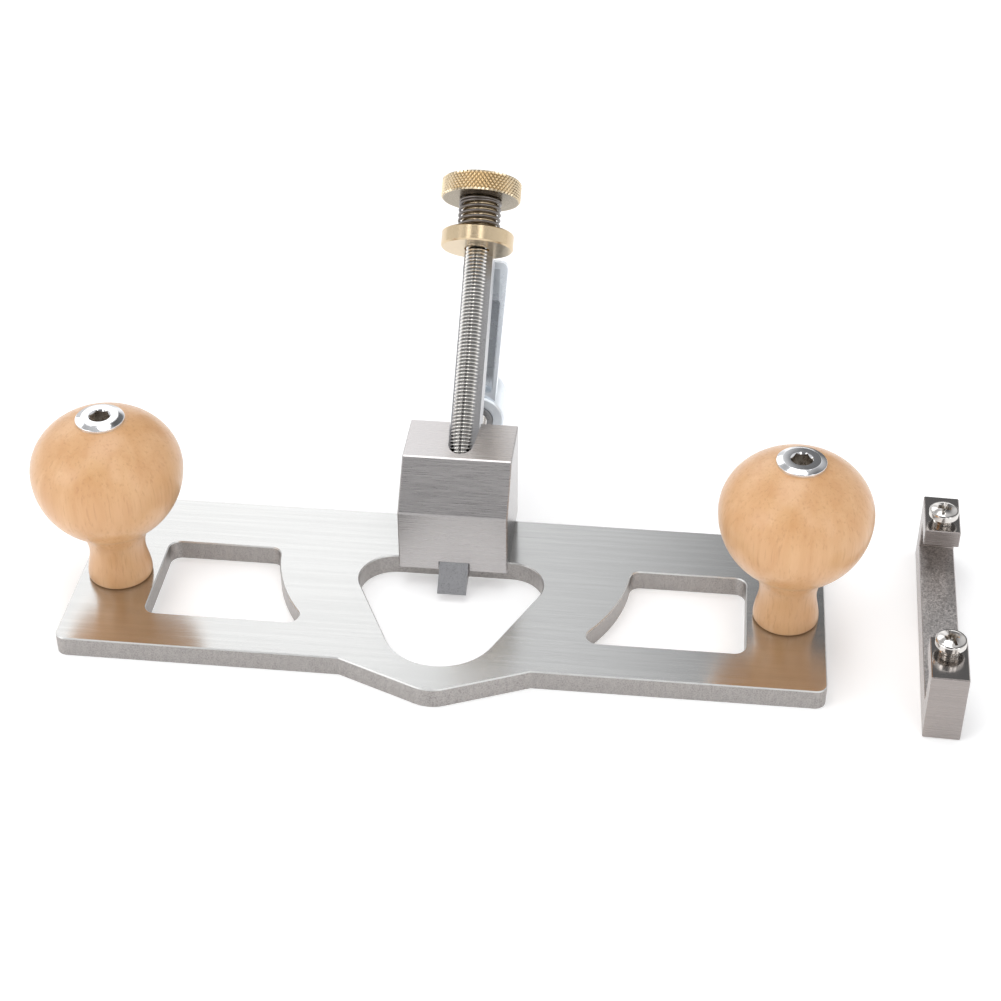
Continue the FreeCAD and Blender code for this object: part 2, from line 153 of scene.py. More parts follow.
def lathe(profile, segments=96):
    """Revolve (radius, height) points about Z; points on the axis close the form."""
    bm = bmesh.new()
    rings = []
    for radius, height in profile:
        if radius < 1e-7:
            rings.append([bm.verts.new((0, 0, height))])
            continue
        ring = []
        for i in range(segments):
            turn = TAU * i / segments
            ring.append(bm.verts.new((radius * math.cos(turn), radius * math.sin(turn), height)))
        rings.append(ring)
    for a, b in zip(rings, rings[1:]):
        for i in range(segments):
            j = (i + 1) % segments
            if len(a) == 1 and len(b) == 1:
                continue
            if len(a) == 1:
                bm.faces.new((a[0], b[j], b[i]))
            elif len(b) == 1:
                bm.faces.new((a[i], a[j], b[0]))
            else:
                bm.faces.new((a[i], a[j], b[j], b[i]))
    return bm


def arc_points(centre, radius, start, end, count):
    """Points on an arc in the (radius, height) plane, angles in degrees."""
    points = []
    for i in range(count + 1):
        turn = math.radians(start + (end - start) * i / count)
        points.append((centre[0] + radius * math.cos(turn), centre[1] + radius * math.sin(turn)))
    return points


def thread_rod(major, pitch, bottom, top, chamfer, segments=40):
    """Rod with a right-hand helical thread whose rows follow the helix, capped at both ends."""
    bm = bmesh.new()
    depth = THREAD_DEPTH * pitch
    form = [(0.0, 0.0), (0.125, 0.0), (0.4375, 1.0), (0.6875, 1.0)]
    turns = math.ceil((top - bottom) / pitch) + 1
    rows = [(t + at, low) for t in range(-1, turns) for at, low in form]
    grid = []
    for at, low in rows:
        row = []
        for i in range(segments):
            height = bottom + (at + i / segments) * pitch
            limit = major - chamfer + max(0.0, min(height - bottom, top - height))
            radius = min(major - depth * low, limit)
            height = max(bottom, min(top, height))
            turn = TAU * i / segments
            row.append(bm.verts.new((radius * math.cos(turn), radius * math.sin(turn), height)))
        grid.append(row)
    steps = len(form)
    for k in range(len(grid) - 1):
        for i in range(segments - 1):
            bm.faces.new((grid[k][i], grid[k][i + 1], grid[k + 1][i + 1], grid[k + 1][i]))
    for k in range(len(grid) - 1 - steps):
        last = segments - 1
        bm.faces.new((grid[k][last], grid[k + steps][0], grid[k + steps + 1][0], grid[k + 1][last]))
    bmesh.ops.remove_doubles(bm, verts=bm.verts, dist=2e-6)
    bmesh.ops.dissolve_degenerate(bm, edges=bm.edges, dist=2e-6)
    loose = [v for v in bm.verts if not v.link_faces]
    bmesh.ops.delete(bm, geom=loose, context="VERTS")
    for level in (bottom, top):
        ring = [
            e for e in bm.edges
            if e.is_boundary and all(abs(v.co.z - level) < 1e-7 for v in e.verts)
        ]
        bmesh.ops.contextual_create(bm, geom=ring)
    return bm


def coil_spring(radius, wire, bottom, top, turns, closed=0.9, steps=40, sides=10):
    """Compression spring whose end turns lie flat."""
    bm = bmesh.new()
    count = int(turns * steps)
    low, high = bottom + wire, top - wire
    dead = closed * 0.22 * (high - low) / turns
    rings = []
    for k in range(count + 1):
        share = k / count
        turn = TAU * turns * share
        ends = closed / turns
        if share < ends:
            height = low + dead * share / ends
        elif share > 1 - ends:
            height = high - dead * (1 - share) / ends
        else:
            inner = (share - ends) / (1 - 2 * ends)
            height = low + dead + (high - low - 2 * dead) * inner
        out = Vector((math.cos(turn), math.sin(turn), 0))
        ring = []
        for s in range(sides):
            around = TAU * s / sides
            offset = out * (wire * math.cos(around)) + Vector((0, 0, wire * math.sin(around)))
            ring.append(bm.verts.new(out * radius + Vector((0, 0, height)) + offset))
        rings.append(ring)
    for a, b in zip(rings, rings[1:]):
        for s in range(sides):
            t = (s + 1) % sides
            bm.faces.new((a[s], a[t], b[t], b[s]))
    bm.faces.new(list(reversed(rings[0])))
    bm.faces.new(rings[-1])
    return bm


def knurled_grip(radius, bottom, top, bore, teeth=58, depth=0.65 * MM, bevel=0.5 * MM):
    """Disc with a diamond knurl round its rim and a plain bore."""
    bm = bmesh.new()
    columns = 2 * teeth
    low, high = bottom + bevel, top - bevel
    rows = 2 * max(1, round((high - low) / (TAU * radius / teeth) * 0.72))
    grid = []
    for k in range(rows + 1):
        height = low + (high - low) * k / rows
        row = []
        for i in range(columns):
            peak = (i + k) % 2 == 0
            r = radius if peak else radius - depth
            turn = TAU * i / columns
            row.append(bm.verts.new((r * math.cos(turn), r * math.sin(turn), height)))
        grid.append(row)
    for k in range(rows):
        for i in range(columns):
            j = (i + 1) % columns
            a, b, c, d = grid[k][i], grid[k][j], grid[k + 1][j], grid[k + 1][i]
            if (i + k) % 2 == 0:
                bm.faces.new((a, b, d))
                bm.faces.new((b, c, d))
            else:
                bm.faces.new((a, b, c))
                bm.faces.new((a, c, d))

    def ring(r, height):
        made = []
        for i in range(columns):
            turn = TAU * i / columns
            made.append(bm.verts.new((r * math.cos(turn), r * math.sin(turn), height)))
        return made

    def bridge(a, b):
        for i in range(columns):
            j = (i + 1) % columns
            bm.faces.new((a[i], a[j], b[j], b[i]))

    face_r = radius - bevel
    under = ring(face_r, bottom)
    over = ring(face_r, top)
    mouth = 0.3 * MM
    under_in = ring(bore + mouth, bottom)
    over_in = ring(bore + mouth, top)
    bore_low = ring(bore, bottom + mouth)
    bore_high = ring(bore, top - mouth)
    bridge(under, grid[0])
    bridge(grid[-1], over)
    bridge(over, over_in)
    bridge(over_in, bore_high)
    bridge(bore_high, bore_low)
    bridge(bore_low, under_in)
    bridge(under_in, under)
    return bm


def temp_object(bm, place=None):
    mesh = bpy.data.meshes.new("temp")
    bmesh.ops.recalc_face_normals(bm, faces=bm.faces)
    bm.to_mesh(mesh)
    bm.free()
    thing = bpy.data.objects.new("temp", mesh)
    bpy.context.scene.collection.objects.link(thing)
    if place is not None:
        thing.matrix_world = place
    return thing


def evaluated(thing):
    """The mesh of an object with its modifiers applied, and the object removed."""
    bpy.context.view_layer.update()
    graph = bpy.context.evaluated_depsgraph_get()
    mesh = bpy.data.meshes.new_from_object(thing.evaluated_get(graph))
    bpy.data.objects.remove(thing)
    return mesh


def cut_away(bm, cutters):
    """Subtract closed bmeshes from a closed bmesh and return the new mesh."""
    body = temp_object(bm)
    knives = [temp_object(c) for c in cutters]
    for knife in knives:
        step = body.modifiers.new("cut", "BOOLEAN")
        step.operation = "DIFFERENCE"
        step.solver = "EXACT"
        step.object = knife
    mesh = evaluated(body)
    for knife in knives:
        bpy.data.objects.remove(knife)
    return mesh


def prism(points, bottom, top, top_scale=1.0):
    """Closed prism on an (x, y) outline, optionally tapering towards the top."""
    bm = bmesh.new()
    low = [bm.verts.new((x, y, bottom)) for x, y in points]
    high = [bm.verts.new((x * top_scale, y * top_scale, top)) for x, y in points]
    bm.faces.new(list(reversed(low)))
    bm.faces.new(high)
    for i in range(len(points)):
        j = (i + 1) % len(points)
        bm.faces.new((low[i], low[j], high[j], high[i]))
    return bm


# ---------------------------------------------------------------- material tools

class Shader:
    """A Principled material with short ways to add the nodes that these finishes use."""

    def __init__(self, name, metallic, roughness, colour):
        self.material = bpy.data.materials.new(name)
        self.material.use_nodes = True
        self.tree = self.material.node_tree
        self.main = self.tree.nodes["Principled BSDF"]
        self.main.inputs["Metallic"].default_value = metallic
        self.main.inputs["Roughness"].default_value = roughness
        self.main.inputs["Base Color"].default_value = (*colour, 1)
        self.coords = self.tree.nodes.new("ShaderNodeTexCoord")

    def add(self, kind, **settings):
        node = self.tree.nodes.new(kind)
        for key, value in settings.items():
            setattr(node, key, value)
        return node

    def link(self, a, b):
        self.tree.links.new(a, b)

    def stretched(self, scale, source="Object"):
        mapping = self.add("ShaderNodeMapping")
        mapping.inputs["Scale"].default_value = scale
        self.link(self.coords.outputs[source], mapping.inputs["Vector"])
        return mapping.outputs["Vector"]

    def noise(self, vector, scale=1.0, detail=3.0, rough=0.55, distortion=0.0):
        node = self.add("ShaderNodeTexNoise")
        node.inputs["Scale"].default_value = scale
        node.inputs["Detail"].default_value = detail
        node.inputs["Roughness"].default_value = rough
        node.inputs["Distortion"].default_value = distortion
        self.link(vector, node.inputs["Vector"])
        return node.outputs["Fac"]

    def ramp(self, value, low, high, start=0.0, end=1.0):
        node = self.add("ShaderNodeMapRange")
        node.inputs["From Min"].default_value = start
        node.inputs["From Max"].default_value = end
        node.inputs["To Min"].default_value = low
        node.inputs["To Max"].default_value = high
        self.link(value, node.inputs["Value"])
        return node.outputs["Result"]

    def mix(self, factor, a, b, blend="MIX"):
        node = self.add("ShaderNodeMix", data_type="RGBA", blend_type=blend)
        for socket, value in ((node.inputs[6], a), (node.inputs[7], b)):
            if isinstance(value, tuple):
                socket.default_value = (*value, 1)
            else:
                self.link(value, socket)
        if isinstance(factor, float):
            node.inputs[0].default_value = factor
        else:
            self.link(factor, node.inputs[0])
        return node.outputs[2]

    def mix_value(self, factor, a, b):
        node = self.add("ShaderNodeMix", data_type="FLOAT")
        for socket, value in ((node.inputs[2], a), (node.inputs[3], b)):
            if isinstance(value, float):
                socket.default_value = value
            else:
                self.link(value, socket)
        self.link(factor, node.inputs[0])
        return node.outputs[0]

    def math(self, operation, a, b=None):
        node = self.add("ShaderNodeMath", operation=operation)
        for socket, value in zip(node.inputs, (a, b)):
            if value is None:
                continue
            if isinstance(value, (int, float)):
                socket.default_value = value
            else:
                self.link(value, socket)
        return node.outputs[0]

    def facing(self, axis, start=0.6, end=0.85):
        """1 where the surface faces along plus or minus an object axis."""
        split = self.add("ShaderNodeSeparateXYZ")
        self.link(self.coords.outputs["Normal"], split.inputs[0])
        value = self.math("ABSOLUTE", split.outputs[axis])
        return self.ramp(value, 0.0, 1.0, start, end)

    def from_axis(self):
        """Distance from the object's Z axis, and height along it."""
        split = self.add("ShaderNodeSeparateXYZ")
        self.link(self.coords.outputs["Object"], split.inputs[0])
        square = self.math(
            "ADD",
            self.math("POWER", self.math("ABSOLUTE", split.outputs[0]), 2.0),
            self.math("POWER", self.math("ABSOLUTE", split.outputs[1]), 2.0),
        )
        return self.math("SQRT", square), split.outputs[2]

    def along_line(self, direction, start):
        """How far a point lies from a start point along a direction, in object space."""
        offset = self.add("ShaderNodeVectorMath", operation="SUBTRACT")
        offset.inputs[1].default_value = start
        self.link(self.coords.outputs["Object"], offset.inputs[0])
        product = self.add("ShaderNodeVectorMath", operation="DOT_PRODUCT")
        product.inputs[1].default_value = direction
        self.link(offset.outputs["Vector"], product.inputs[0])
        return product.outputs["Value"]

    def bump(self, height, strength, distance, before=None):
        node = self.add("ShaderNodeBump")
        node.inputs["Strength"].default_value = strength
        node.inputs["Distance"].default_value = distance
        self.link(height, node.inputs["Height"])
        if before is not None:
            self.link(before, node.inputs["Normal"])
        return node.outputs["Normal"]

    def finish(self, colour=None, roughness=None, normal=None):
        if colour is not None:
            self.link(colour, self.main.inputs["Base Color"])
        if roughness is not None:
            self.link(roughness, self.main.inputs["Roughness"])
        if normal is not None:
            self.link(normal, self.main.inputs["Normal"])
        return self.material


def brushed_steel(name, colour, along, rough=(0.24, 0.38), edge=None, faces=2, tone=0.10, top=1.0):
    """Steel with long brush lines along one axis on its main faces and a grainy cut edge."""
    s = Shader(name, 1.0, 0.3, colour)
    s.main.inputs["Anisotropic"].default_value = 0.75
    across = s.add("ShaderNodeCombineXYZ")
    for socket, value in zip(across.inputs, (0, 1, 1) if along == 0 else (1, 0, 1)):
        socket.default_value = value
    s.link(across.outputs[0], s.main.inputs["Tangent"])

    def lines(width, length, detail=2.0):
        scale = [1 / width] * 3
        scale[along] = 1 / length
        return s.noise(s.stretched(scale), 1.0, detail, 0.6)

    fine = lines(0.0002, 0.012)
    broad = lines(0.0013, 0.07)
    cloud = s.noise(s.stretched((26, 26, 26)), 1.0, 2.0, 0.5)
    shade = s.mix(s.ramp(fine, 0, 1, 0.35, 0.65), tuple(c * (1 - tone) for c in colour), colour)
    shade = s.mix(s.ramp(broad, 0, 0.3, 0.42, 0.62), shade, tuple(min(1, c * (1 + tone)) for c in colour))
    shade = s.mix(s.ramp(cloud, 0, 0.25, 0.4, 0.7), shade, tuple(c * (1 - tone) for c in colour))
    # Painted light: faces that look straight up are drawn lighter by the factor top.
    if top != 1.0:
        shade = s.mix(s.facing(2, 0.9, 0.97), shade, tuple(min(1, c * top) for c in colour))
    rough_value = s.ramp(fine, rough[0], rough[1], 0.3, 0.7)
    if edge is None:
        return s.finish(shade, rough_value, s.bump(fine, 0.10, 0.00003))
    grit = s.noise(s.stretched((2600, 2600, 2600)), 1.0, 2.0, 0.6)
    stria = s.noise(s.stretched((900, 900, 420)), 1.0, 2.0, 0.5)
    cut = s.mix(s.ramp(grit, 0, 1, 0.32, 0.62), tuple(c * 0.58 for c in edge), edge)
    cut = s.mix(s.ramp(stria, 0, 0.22, 0.4, 0.65), cut, tuple(min(1, c * 1.25) for c in edge))
    main_face = s.facing(faces, 0.9, 0.97)
    shade = s.mix(main_face, cut, shade)
    # Painted highlight: chamfers between the main faces and the cut edges are drawn lighter.
    chamfer_highlight = s.math("MULTIPLY", s.facing(faces, 0.45, 0.6), s.math("SUBTRACT", 1.0, main_face))
    shade = s.mix(chamfer_highlight, shade, tuple(min(1, c * 1.25) for c in colour))
    rough_value = s.mix_value(main_face, s.ramp(grit, 0.34, 0.52, 0.3, 0.7), rough_value)
    height = s.mix_value(main_face, grit, fine)
    return s.finish(shade, rough_value, s.bump(height, 0.16, 0.00004))


def milled_bar(name, colour, side_colour, tab_top):
    """Steel bar with a bead-blasted speckle on top and level brush lines along its sides."""
    s = Shader(name, 1.0, 0.3, colour)
    grit = s.noise(s.stretched((2100, 2100, 2100)), 1.0, 3.0, 0.65)
    patch = s.noise(s.stretched((240, 240, 240)), 1.0, 2.0, 0.5)
    level_lines = s.noise(s.stretched((60, 60, 3600)), 1.0, 2.0, 0.6)
    pit = tuple(c * 0.62 for c in colour)
    glint = tuple(c * 1.28 for c in colour)
    top = s.mix(s.ramp(grit, 0, 1, 0.34, 0.66), pit, glint)
    top = s.mix(s.ramp(patch, 0, 0.3, 0.4, 0.7), top, tuple(c * 0.8 for c in colour))
    on_tab = s.ramp(s.along_line((0, 0, 1), tab_top), 0.0, 1.0, -0.6 * MM, -0.3 * MM)
    top = s.mix(on_tab, top, tuple(c * 0.74 for c in colour))
    side = s.mix(s.ramp(level_lines, 0, 1, 0.3, 0.7), tuple(c * 0.86 for c in side_colour), side_colour)
    on_top = s.facing(2, 0.7, 0.9)
    shade = s.mix(on_top, side, top)
    top_rough = s.mix_value(on_tab, s.ramp(grit, 0.28, 0.46, 0.3, 0.7), 0.16)
    rough = s.mix_value(on_top, s.ramp(level_lines, 0.2, 0.32, 0.3, 0.7), top_rough)
    height = s.mix_value(on_top, level_lines, grit)
    return s.finish(shade, rough, s.bump(height, 0.14, 0.00004))


def polished(name, colour, rough=0.07, socket=None):
    """Plated metal with faint wiping marks.

    socket gives the radius and depth below the top of a machined recess, drawn duller and darker inside as painted
    shade.
    """
    s = Shader(name, 1.0, rough, colour)
    haze = s.noise(s.stretched((900, 900, 300)), 1.0, 3.0, 0.6)
    fleck = s.noise(s.stretched((5000, 5000, 5000)), 1.0, 1.0, 0.5)
    value = s.ramp(haze, rough * 0.6, rough * 2.0, 0.3, 0.75)
    shade = s.mix(s.ramp(haze, 0, 0.4, 0.45, 0.75), colour, tuple(c * 0.88 for c in colour))
    normal = s.bump(fleck, 0.03, 0.00002)
    if socket:
        # Painted shade: inside the socket the colour is darker and mottled, and the surface rougher.
        radius, height = s.from_axis()
        inside = s.ramp(radius, 1.0, 0.0, socket[0], socket[0] * 1.05)
        below = s.ramp(height, 1.0, 0.0, -socket[1] * 2, -socket[1])
        dull = s.math("MULTIPLY", inside, below)
        socket_mottle = s.noise(s.stretched((1400, 1400, 700)), 1.0, 3.0, 0.6)
        socket_shade = s.mix(s.ramp(socket_mottle, 0, 1, 0.35, 0.65), (0.34, 0.30, 0.26), (0.56, 0.53, 0.49))
        shade = s.mix(dull, shade, socket_shade)
        value = s.mix_value(dull, value, s.ramp(socket_mottle, 0.22, 0.38, 0.3, 0.7))
    return s.finish(shade, value, normal)


def turned_metal(name, colour, rough=(0.22, 0.4), rings=5200.0, grooves=None, deep=0.42):
    """Lathe-turned metal: fine marks that circle the piece's own Z axis.

    grooves gives the radius of a groove's bottom and of its crest; what lies deeper is darkened as painted shade.
    """
    s = Shader(name, 1.0, 0.3, colour)
    radius, height = s.from_axis()
    join = s.add("ShaderNodeCombineXYZ")
    s.link(radius, join.inputs[0])
    s.link(height, join.inputs[2])
    marks = s.noise(join.outputs[0], rings, 2.0, 0.6)
    cloud = s.noise(s.stretched((160, 160, 160)), 1.0, 3.0, 0.6)
    shade = s.mix(s.ramp(marks, 0, 1, 0.3, 0.7), tuple(c * 0.82 for c in colour), colour)
    shade = s.mix(s.ramp(cloud, 0, 0.35, 0.45, 0.75), shade, tuple(c * 0.74 for c in colour))
    if grooves:
        # Painted shade: the colour darkens towards the bottom of each groove, down to the factor deep.
        crest = s.ramp(radius, 0.0, 1.0, grooves[0], grooves[1])
        shade = s.mix(crest, tuple(c * deep for c in colour), shade)
    value = s.ramp(marks, rough[0], rough[1], 0.3, 0.7)
    normal = s.bump(marks, 0.12, 0.00004)
    return s.finish(shade, value, normal)


def maple(name, seed):
    """Light maple: long vertical grain, faint growth bands and short dark flecks, satin lacquer."""
    s = Shader(name, 0.0, 0.32, (0.78, 0.52, 0.31))
    s.main.inputs["Coat Weight"].default_value = 0.35
    s.main.inputs["Coat Roughness"].default_value = 0.18
    s.main.inputs["Subsurface Weight"].default_value = 0.04
    s.main.inputs["Subsurface Radius"].default_value = (0.004, 0.002, 0.001)
    mapping = s.add("ShaderNodeMapping")
    mapping.inputs["Location"].default_value = (seed, seed * 0.37, 0)
    mapping.inputs["Rotation"].default_value = (0.06, -0.05, 0.4)
    mapping.inputs["Scale"].default_value = (1, 1, 0.035)
    s.link(s.coords.outputs["Object"], mapping.inputs["Vector"])
    grain = mapping.outputs["Vector"]
    bands = s.noise(grain, 230, 4.0, 0.55, 0.6)
    streak = s.noise(grain, 1500, 3.0, 0.6)
    fleck = s.noise(grain, 3800, 2.0, 0.5)
    cloud = s.noise(s.stretched((45, 45, 30)), 1.0, 2.0, 0.5)
    light = (0.72, 0.425, 0.21)
    mid = (0.65, 0.35, 0.157)
    dark = (0.47, 0.22, 0.085)
    colour = s.mix(s.ramp(bands, 0, 1, 0.32, 0.68), light, mid)
    colour = s.mix(s.ramp(streak, 0, 0.36, 0.54, 0.68), colour, dark)
    colour = s.mix(s.ramp(fleck, 0, 0.28, 0.62, 0.76), colour, dark)
    colour = s.mix(s.ramp(cloud, 0, 0.16, 0.4, 0.7), colour, (0.74, 0.455, 0.245))
    rough = s.ramp(streak, 0.28, 0.42, 0.3, 0.7)
    normal = s.bump(streak, 0.10, 0.00006)
    normal = s.bump(fleck, 0.06, 0.00004, normal)
    return s.finish(colour, rough, normal)


def die_cast(name, colour, front, inward, middle):
    """Satin plated casting with a very fine orange-peel skin, drawn darker inside its open hollow as painted
    shade.

    front is a point on the rim's plane, inward points into the hollow and middle runs across it.
    """
    s = Shader(name, 0.85, 0.3, colour)
    s.main.inputs["Coat Weight"].default_value = 0.25
    s.main.inputs["Coat Roughness"].default_value = 0.12
    peel = s.noise(s.stretched((1600, 1600, 1600)), 1.0, 2.0, 0.5)
    cloud = s.noise(s.stretched((110, 110, 110)), 1.0, 3.0, 0.6)
    shade = s.mix(s.ramp(cloud, 0, 0.5, 0.35, 0.7), colour, tuple(c * 0.84 for c in colour))
    depth = s.along_line(inward, front)
    across = s.math("ABSOLUTE", s.along_line(middle, front))
    up = s.along_line((0, 0, 1), front)
    # Painted shade: the colour darkens with depth into the hollow between the arm's walls, above the hub.
    sunk = s.ramp(depth, 0.0, 0.55, 0.5 * MM, 0.75 * MM)
    hollow = s.ramp(depth, 0.0, 0.45, 1.0 * MM, 2.6 * MM)
    between_walls = s.ramp(across, 1.0, 0.0, 4.8 * MM, 5.1 * MM)
    above_hub = s.ramp(up, 0.0, 1.0, 2 * MM, 4 * MM)
    within = s.math("MULTIPLY", between_walls, above_hub)
    dark = s.math("MULTIPLY", s.math("ADD", sunk, hollow), within)
    shade = s.mix(dark, shade, tuple(c * 0.48 for c in colour))
    value = s.ramp(cloud, 0.22, 0.36, 0.3, 0.7)
    normal = s.bump(peel, 0.10, 0.00005)
    return s.finish(shade, value, normal)


# ---------------------------------------------------------------- materials

PLATE = brushed_steel("plate steel", (0.60, 0.60, 0.59), 0, rough=(0.16, 0.24), edge=(0.46, 0.435, 0.42))
# top=1.22 draws the block's upward faces lighter as painted light.
BLOCK = brushed_steel("block steel", (0.50, 0.48, 0.475), 0, rough=(0.24, 0.33), tone=0.06, top=1.22)
fence_top = nodes["fence_body"].matrix_world.inverted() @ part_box("fence_body")[1]
FENCE = milled_bar("fence steel", (0.69, 0.655, 0.635), (0.38, 0.345, 0.33), fence_top)
CUTTER = brushed_steel("cutter steel", (0.55, 0.55, 0.565), 2, rough=(0.26, 0.36))
FASTENER = turned_metal("plain fastener steel", (0.40, 0.40, 0.41))
# The thread's roots are drawn darker as painted shade.
SCREW = turned_metal(
    "bright thread steel",
    (0.97, 0.95, 0.92),
    rough=(0.10, 0.18),
    grooves=THREAD_SHADE,
    deep=0.24,
)
SPRING = turned_metal("drawn spring wire", (0.22, 0.20, 0.19), rough=(0.22, 0.36))
BRASS = turned_metal("satin brass", (0.78, 0.62, 0.41), rough=(0.17, 0.28))
# The knurl's darker valleys stand for brass patina and for painted shade.
KNURL = turned_metal(
    "knurled brass",
    (0.97, 0.80, 0.56),
    rough=(0.20, 0.32),
    grooves=KNURL_SHADE,
    deep=0.30,
)
CHROME = polished("polished nickel", (0.82, 0.82, 0.83), socket=(3.0 * MM, 0.3 * MM))
PAN_CHROME = polished("plated screw", (0.74, 0.71, 0.68), 0.08, socket=(2.1 * MM, 0.35 * MM))
MAPLES = {side: maple(f"{side} maple", seed) for side, seed in (("left", 0.31), ("right", 1.73))}

LEVER_LEAN = math.radians(23.7)
lever_pivot = Vector(joints["lever_turn"]["pos_m"])
into_arm = nodes["clamp_lever"].matrix_world.inverted()
LEVER = die_cast(
    "plated casting",
    (0.85, 0.90, 0.95),
    into_arm @ (lever_pivot + Vector((0, 1.2 * MM, 6 * MM))),
    into_arm.to_3x3() @ Vector((0, math.cos(LEVER_LEAN), -math.sin(LEVER_LEAN))),
    into_arm.to_3x3() @ Vector((1, 0, 0)),
)

body_of = {}
for body, members in frame["record"]["behaviour"]["bodies"].items():
    for member in members:
        body_of[member] = body

for name, material in (
    ("base_plate", PLATE),
    ("head_block", BLOCK),
    ("block_screws", FASTENER),
    ("cutter", CUTTER),
    ("cutter_flange", BRASS),
    ("flange_pins", FASTENER),
    ("swivel_pins", FASTENER),
    ("clamp_pad", FASTENER),
    ("lever_insert", FASTENER),
    ("lever_screw", FASTENER),
    ("clamp_lever", LEVER),
    ("fence_body", FENCE),
):
    paint(nodes[name], material)


# ---------------------------------------------------------------- threaded pieces and springs

def threaded(node, place, chamfer):
    bottom, top = along(node, place)
    major = span(node, 0) / 2
    bm = thread_rod(major, M6_PITCH, bottom, top, chamfer)
    piece = new_piece(f"{node}_thread", bm, place, body_of[node], [node], sharp=50)
    paint(piece, SCREW)


threaded("depth_screw", post, 0.7 * MM)
threaded("clamp_stud", spindle, 0.5 * MM)


def wound(node, place, turns, wire):
    bottom, top = along(node, place)
    radius = span(node, 0) / 2 - wire
    bm = coil_spring(radius, wire, bottom, top, turns)
    piece = new_piece(f"{node}_coil", bm, place, body_of[node], [node])
    paint(piece, SPRING)
    return piece


wound("adjuster_spring", post, 7.0, 0.42 * MM)
lever_coil = wound("lever_spring", spindle, 3.0, 0.45 * MM)
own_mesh(lever_coil)


# ---------------------------------------------------------------- adjuster knob

GRIP_THICK = 5.5 * MM
HUB_R = 4.8 * MM
HUB_BORE = 3.05 * MM
GROOVE_R = 4.2 * MM
GROOVE = (2.0 * MM, 3.8 * MM)


def adjuster_knob():
    hub_low, top = along("adjuster_knob", post)
    radius = span("adjuster_knob", 0) / 2
    bottom = top - GRIP_THICK
    grip = knurled_grip(radius, bottom, top, HUB_BORE)
    piece = new_piece("knurled_grip", grip, post, "adjuster", ["adjuster_knob"], sharp=22)
    paint(piece, KNURL)
    neck_low = along("cutter_flange", post)[0] + GROOVE[0]
    neck_high = along("cutter_flange", post)[0] + GROOVE[1]
    profile = [
        (HUB_BORE, bottom - 0.01 * MM),
        (HUB_R, bottom - 0.01 * MM),
        (HUB_R, neck_high),
        (GROOVE_R, neck_high),
        (GROOVE_R, neck_low),
        (HUB_R, neck_low),
        (HUB_R, hub_low),
        (HUB_BORE, hub_low),
        (HUB_BORE, bottom - 0.01 * MM),
    ]
    hub = new_piece("knob_hub", lathe(profile), post, "adjuster", [], sharp=30)
    paint(hub, BRASS)


adjuster_knob()


# ---------------------------------------------------------------- wooden knobs

BALL_R = 20.1 * MM
BALL_Z = 40.5 * MM
CROWN_HEIGHT = 16.4 * MM
NECK_R = 7.6 * MM
NECK_Z = 15.0 * MM
FOOT_R = 8.75 * MM
FOOT_ROUND = 0.9 * MM
KNOB_BORE = 3.02 * MM


def wooden_knob(side):
    """Turned ball with a squat crown, a round neck and a foot that flares smoothly."""
    node = f"{side}_knob"
    low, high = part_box(node)
    middle = (low + high) / 2
    place = Matrix.Translation((middle.x, middle.y, 0))
    cove = (BALL_R**2 - NECK_R**2 - (BALL_Z - NECK_Z) ** 2) / (2 * (NECK_R - BALL_R))
    to_ball = math.degrees(math.atan2(BALL_Z - NECK_Z, NECK_R + cove))
    profile = [(KNOB_BORE, low.z), (FOOT_R - FOOT_ROUND, low.z)]
    profile += arc_points((FOOT_R - FOOT_ROUND, low.z + FOOT_ROUND), FOOT_ROUND, -80, 0, 6)
    flare_low = low.z + FOOT_ROUND
    for i in range(1, 14):
        part = i / 14
        ease = 0.5 + 0.5 * math.cos(math.pi * part)
        profile.append((NECK_R + (FOOT_R - NECK_R) * ease, flare_low + (NECK_Z - flare_low) * part))
    profile += arc_points((NECK_R + cove, NECK_Z), cove, 180, 180 - to_ball, 14)
    profile += arc_points((0, BALL_Z), BALL_R, -to_ball, 0, 24)[1:]
    last = math.asin((high.z - BALL_Z) / CROWN_HEIGHT)
    for i in range(1, 33):
        turn = last * i / 32
        profile.append((BALL_R * math.cos(turn), BALL_Z + CROWN_HEIGHT * math.sin(turn)))
    profile += [(KNOB_BORE, high.z), (KNOB_BORE, low.z)]
    form = lathe(profile, 128)
    piece = new_piece(f"{side}_turned_knob", form, place, "root", [node], sharp=35)
    paint(piece, MAPLES[side])


for side in ("left", "right"):
    wooden_knob(side)


# ---------------------------------------------------------------- knob bolts

BOLT_HEAD = 1.5 * MM
BOLT_RIM = 0.8 * MM
BOLT_FLAT_R = 5.0 * MM
BOLT_SHANK_R = 3.0 * MM
HEX_ACROSS = 5.0 * MM
HEX_DEPTH = 3.2 * MM


def hexagon(across):
    corner = across / math.sqrt(3)
    return [(corner * math.cos(TAU * i / 6), corner * math.sin(TAU * i / 6)) for i in range(6)]


